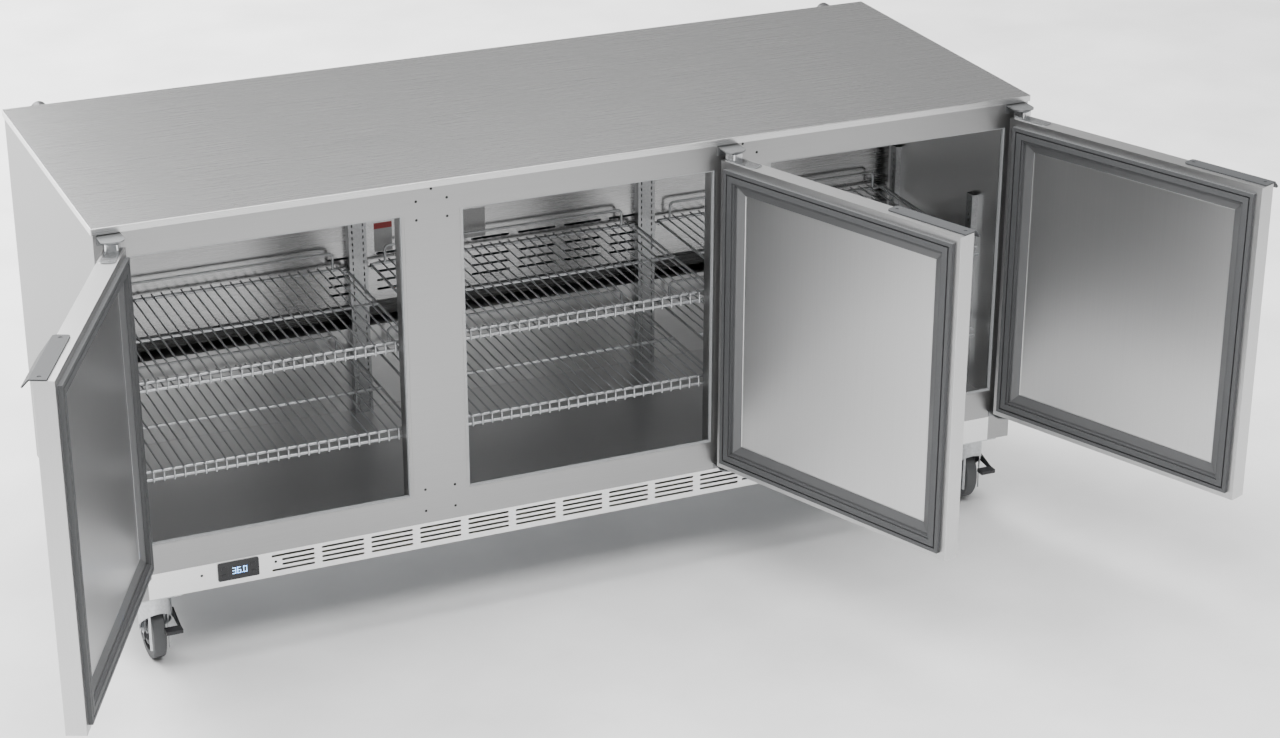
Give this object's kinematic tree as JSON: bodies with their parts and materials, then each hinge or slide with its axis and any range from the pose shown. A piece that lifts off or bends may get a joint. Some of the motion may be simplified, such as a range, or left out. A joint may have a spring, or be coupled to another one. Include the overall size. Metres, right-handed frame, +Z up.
{
  "type": "reach in refrigerator",
  "caption": "Stainless under-counter reach in refrigerator on casters with hinged doors, wire shelves and a flat worktop.",
  "frame": {"origin": "centre of the worktop's upper face", "axes": "+X to the right along the front, +Y from the doors to the back, +Z up out of the worktop"},
  "size_m": [2.271, 1.2712, 0.874],
  "materials": {
    "brushed_steel": "satin",
    "galvanised_steel": "satin",
    "charcoal_handle": "matte",
    "grey_gasket": "matte",
    "foam": "matte",
    "black_plastic": "satin",
    "grey_plastic": "satin",
    "wire_coating": "gloss",
    "zinc_steel": "polished",
    "dark_screws": "satin",
    "aluminium_fins": "satin",
    "caster_grey": "matte"
  },
  "bodies": {
    "cabinet": {"base_pan": "galvanised_steel", "breaker_strips": "grey_plastic", "caster_plates": "zinc_steel", "coils": "aluminium_fins", "compressor": "black_plastic", "controller_body": "black_plastic", "evaporator_cover": "brushed_steel", "fan_motors": "black_plastic", "front_posts": "brushed_steel", "front_rails": "brushed_steel", "hinge_brackets": "zinc_steel", "insulation": "foam", "kick_grille": "brushed_steel", "liner_panels": "brushed_steel", "outer_panels": "brushed_steel", "panel_screws": "dark_screws", "pilasters": "zinc_steel", "rear_bumpers": "black_plastic", "shelf_clips": "zinc_steel", "worktop": "brushed_steel"},
    "door_left": {"door_left_core": "foam", "door_left_gasket": "grey_gasket", "door_left_handle": "charcoal_handle", "door_left_hinge": "zinc_steel", "door_left_liner": "brushed_steel", "door_left_pan": "brushed_steel"},
    "door_middle": {"door_middle_core": "foam", "door_middle_gasket": "grey_gasket", "door_middle_handle": "charcoal_handle", "door_middle_hinge": "zinc_steel", "door_middle_liner": "brushed_steel", "door_middle_pan": "brushed_steel"},
    "door_right": {"door_right_core": "foam", "door_right_gasket": "grey_gasket", "door_right_handle": "charcoal_handle", "door_right_hinge": "zinc_steel", "door_right_liner": "brushed_steel", "door_right_pan": "brushed_steel"},
    "caster_front_left_swivel": {"caster_front_left_fork": "zinc_steel"},
    "caster_front_left_wheel_body": {"caster_front_left_wheel": "caster_grey"},
    "caster_front_left_brake_body": {"caster_front_left_brake": "black_plastic"},
    "caster_front_right_swivel": {"caster_front_right_fork": "zinc_steel"},
    "caster_front_right_wheel_body": {"caster_front_right_wheel": "caster_grey"},
    "caster_front_right_brake_body": {"caster_front_right_brake": "black_plastic"},
    "caster_rear_left_swivel": {"caster_rear_left_fork": "zinc_steel"},
    "caster_rear_left_wheel_body": {"caster_rear_left_wheel": "caster_grey"},
    "caster_rear_right_swivel": {"caster_rear_right_fork": "zinc_steel"},
    "caster_rear_right_wheel_body": {"caster_rear_right_wheel": "caster_grey"},
    "shelf_upper_left_body": {"shelf_upper_left": "wire_coating"},
    "shelf_upper_middle_body": {"shelf_upper_middle": "wire_coating"},
    "shelf_upper_right_body": {"shelf_upper_right": "wire_coating"},
    "shelf_lower_left_body": {"shelf_lower_left": "wire_coating"},
    "shelf_lower_middle_body": {"shelf_lower_middle": "wire_coating"},
    "shelf_lower_right_body": {"shelf_lower_right": "wire_coating"},
    "evaporator_fan_body": {"evaporator_fan": "black_plastic"},
    "condenser_fan_body": {"condenser_fan": "black_plastic"},
    "button_upper_left_body": {"button_upper_left": "black_plastic"},
    "button_upper_right_body": {"button_upper_right": "black_plastic"},
    "button_lower_left_body": {"button_lower_left": "black_plastic"},
    "button_lower_right_body": {"button_lower_right": "black_plastic"}
  },
  "joints": [
    {"name": "door_left_hinge", "type": "hinge", "parent": "cabinet", "child": "door_left", "pos_m": [-0.8841, -0.3726, -0.3], "axis": [0, 0, -1], "range_deg": [-115.2, 4.8]},
    {"name": "door_middle_hinge", "type": "hinge", "parent": "cabinet", "child": "door_middle", "pos_m": [0.2746, -0.3726, -0.3], "axis": [0, 0, 1], "range_deg": [-111.5, 8.5]},
    {"name": "door_right_hinge", "type": "hinge", "parent": "cabinet", "child": "door_right", "pos_m": [0.8841, -0.3726, -0.3], "axis": [0, 0, 1], "range_deg": [-112.3, 7.7]},
    {"name": "caster_front_left_swivel_turn", "type": "hinge", "parent": "cabinet", "child": "caster_front_left_swivel", "pos_m": [-0.8445, -0.298, -0.73], "axis": [0, 0, 1], "continuous": true},
    {"name": "caster_front_left_wheel_roll", "type": "hinge", "parent": "caster_front_left_swivel", "child": "caster_front_left_wheel_body", "pos_m": [-0.8445, -0.266, -0.812], "axis": [1, 0, 0], "continuous": true},
    {"name": "caster_front_left_brake_press", "type": "hinge", "parent": "caster_front_left_swivel", "child": "caster_front_left_brake_body", "pos_m": [-0.81, -0.29, -0.78], "axis": [1, 0, 0], "range_deg": [0, 10]},
    {"name": "caster_front_right_swivel_turn", "type": "hinge", "parent": "cabinet", "child": "caster_front_right_swivel", "pos_m": [0.8445, -0.298, -0.73], "axis": [0, 0, 1], "continuous": true},
    {"name": "caster_front_right_wheel_roll", "type": "hinge", "parent": "caster_front_right_swivel", "child": "caster_front_right_wheel_body", "pos_m": [0.8445, -0.266, -0.812], "axis": [1, 0, 0], "continuous": true},
    {"name": "caster_front_right_brake_press", "type": "hinge", "parent": "caster_front_right_swivel", "child": "caster_front_right_brake_body", "pos_m": [0.879, -0.29, -0.78], "axis": [1, 0, 0], "range_deg": [0, 10]},
    {"name": "caster_rear_left_swivel_turn", "type": "hinge", "parent": "cabinet", "child": "caster_rear_left_swivel", "pos_m": [-0.8445, 0.25, -0.73], "axis": [0, 0, 1], "continuous": true},
    {"name": "caster_rear_left_wheel_roll", "type": "hinge", "parent": "caster_rear_left_swivel", "child": "caster_rear_left_wheel_body", "pos_m": [-0.8445, 0.282, -0.812], "axis": [1, 0, 0], "continuous": true},
    {"name": "caster_rear_right_swivel_turn", "type": "hinge", "parent": "cabinet", "child": "caster_rear_right_swivel", "pos_m": [0.8445, 0.25, -0.73], "axis": [0, 0, 1], "continuous": true},
    {"name": "caster_rear_right_wheel_roll", "type": "hinge", "parent": "caster_rear_right_swivel", "child": "caster_rear_right_wheel_body", "pos_m": [0.8445, 0.282, -0.812], "axis": [1, 0, 0], "continuous": true},
    {"name": "shelf_upper_left_lift", "type": "slide", "parent": "cabinet", "child": "shelf_upper_left_body", "axis": [0, 0, 1], "range_m": [0, 0.02]},
    {"name": "shelf_upper_middle_lift", "type": "slide", "parent": "cabinet", "child": "shelf_upper_middle_body", "axis": [0, 0, 1], "range_m": [0, 0.02]},
    {"name": "shelf_upper_right_lift", "type": "slide", "parent": "cabinet", "child": "shelf_upper_right_body", "axis": [0, 0, 1], "range_m": [0, 0.02]},
    {"name": "shelf_lower_left_lift", "type": "slide", "parent": "cabinet", "child": "shelf_lower_left_body", "axis": [0, 0, 1], "range_m": [0, 0.02]},
    {"name": "shelf_lower_middle_lift", "type": "slide", "parent": "cabinet", "child": "shelf_lower_middle_body", "axis": [0, 0, 1], "range_m": [0, 0.02]},
    {"name": "shelf_lower_right_lift", "type": "slide", "parent": "cabinet", "child": "shelf_lower_right_body", "axis": [0, 0, 1], "range_m": [0, 0.02]},
    {"name": "evaporator_fan_spin", "type": "hinge", "parent": "cabinet", "child": "evaporator_fan_body", "pos_m": [0.43, 0.2, -0.3], "axis": [0, -1, 0], "continuous": true},
    {"name": "condenser_fan_spin", "type": "hinge", "parent": "cabinet", "child": "condenser_fan_body", "pos_m": [-0.06, 0.25, -0.612], "axis": [1, 0, 0], "continuous": true},
    {"name": "button_upper_left_press", "type": "slide", "parent": "cabinet", "child": "button_upper_left_body", "axis": [0, 1, 0], "range_m": [0, 0.0008], "stiffness_N_per_m": 400},
    {"name": "button_upper_right_press", "type": "slide", "parent": "cabinet", "child": "button_upper_right_body", "axis": [0, 1, 0], "range_m": [0, 0.0008], "stiffness_N_per_m": 400},
    {"name": "button_lower_left_press", "type": "slide", "parent": "cabinet", "child": "button_lower_left_body", "axis": [0, 1, 0], "range_m": [0, 0.0008], "stiffness_N_per_m": 400},
    {"name": "button_lower_right_press", "type": "slide", "parent": "cabinet", "child": "button_lower_right_body", "axis": [0, 1, 0], "range_m": [0, 0.0008], "stiffness_N_per_m": 400}
  ]
}
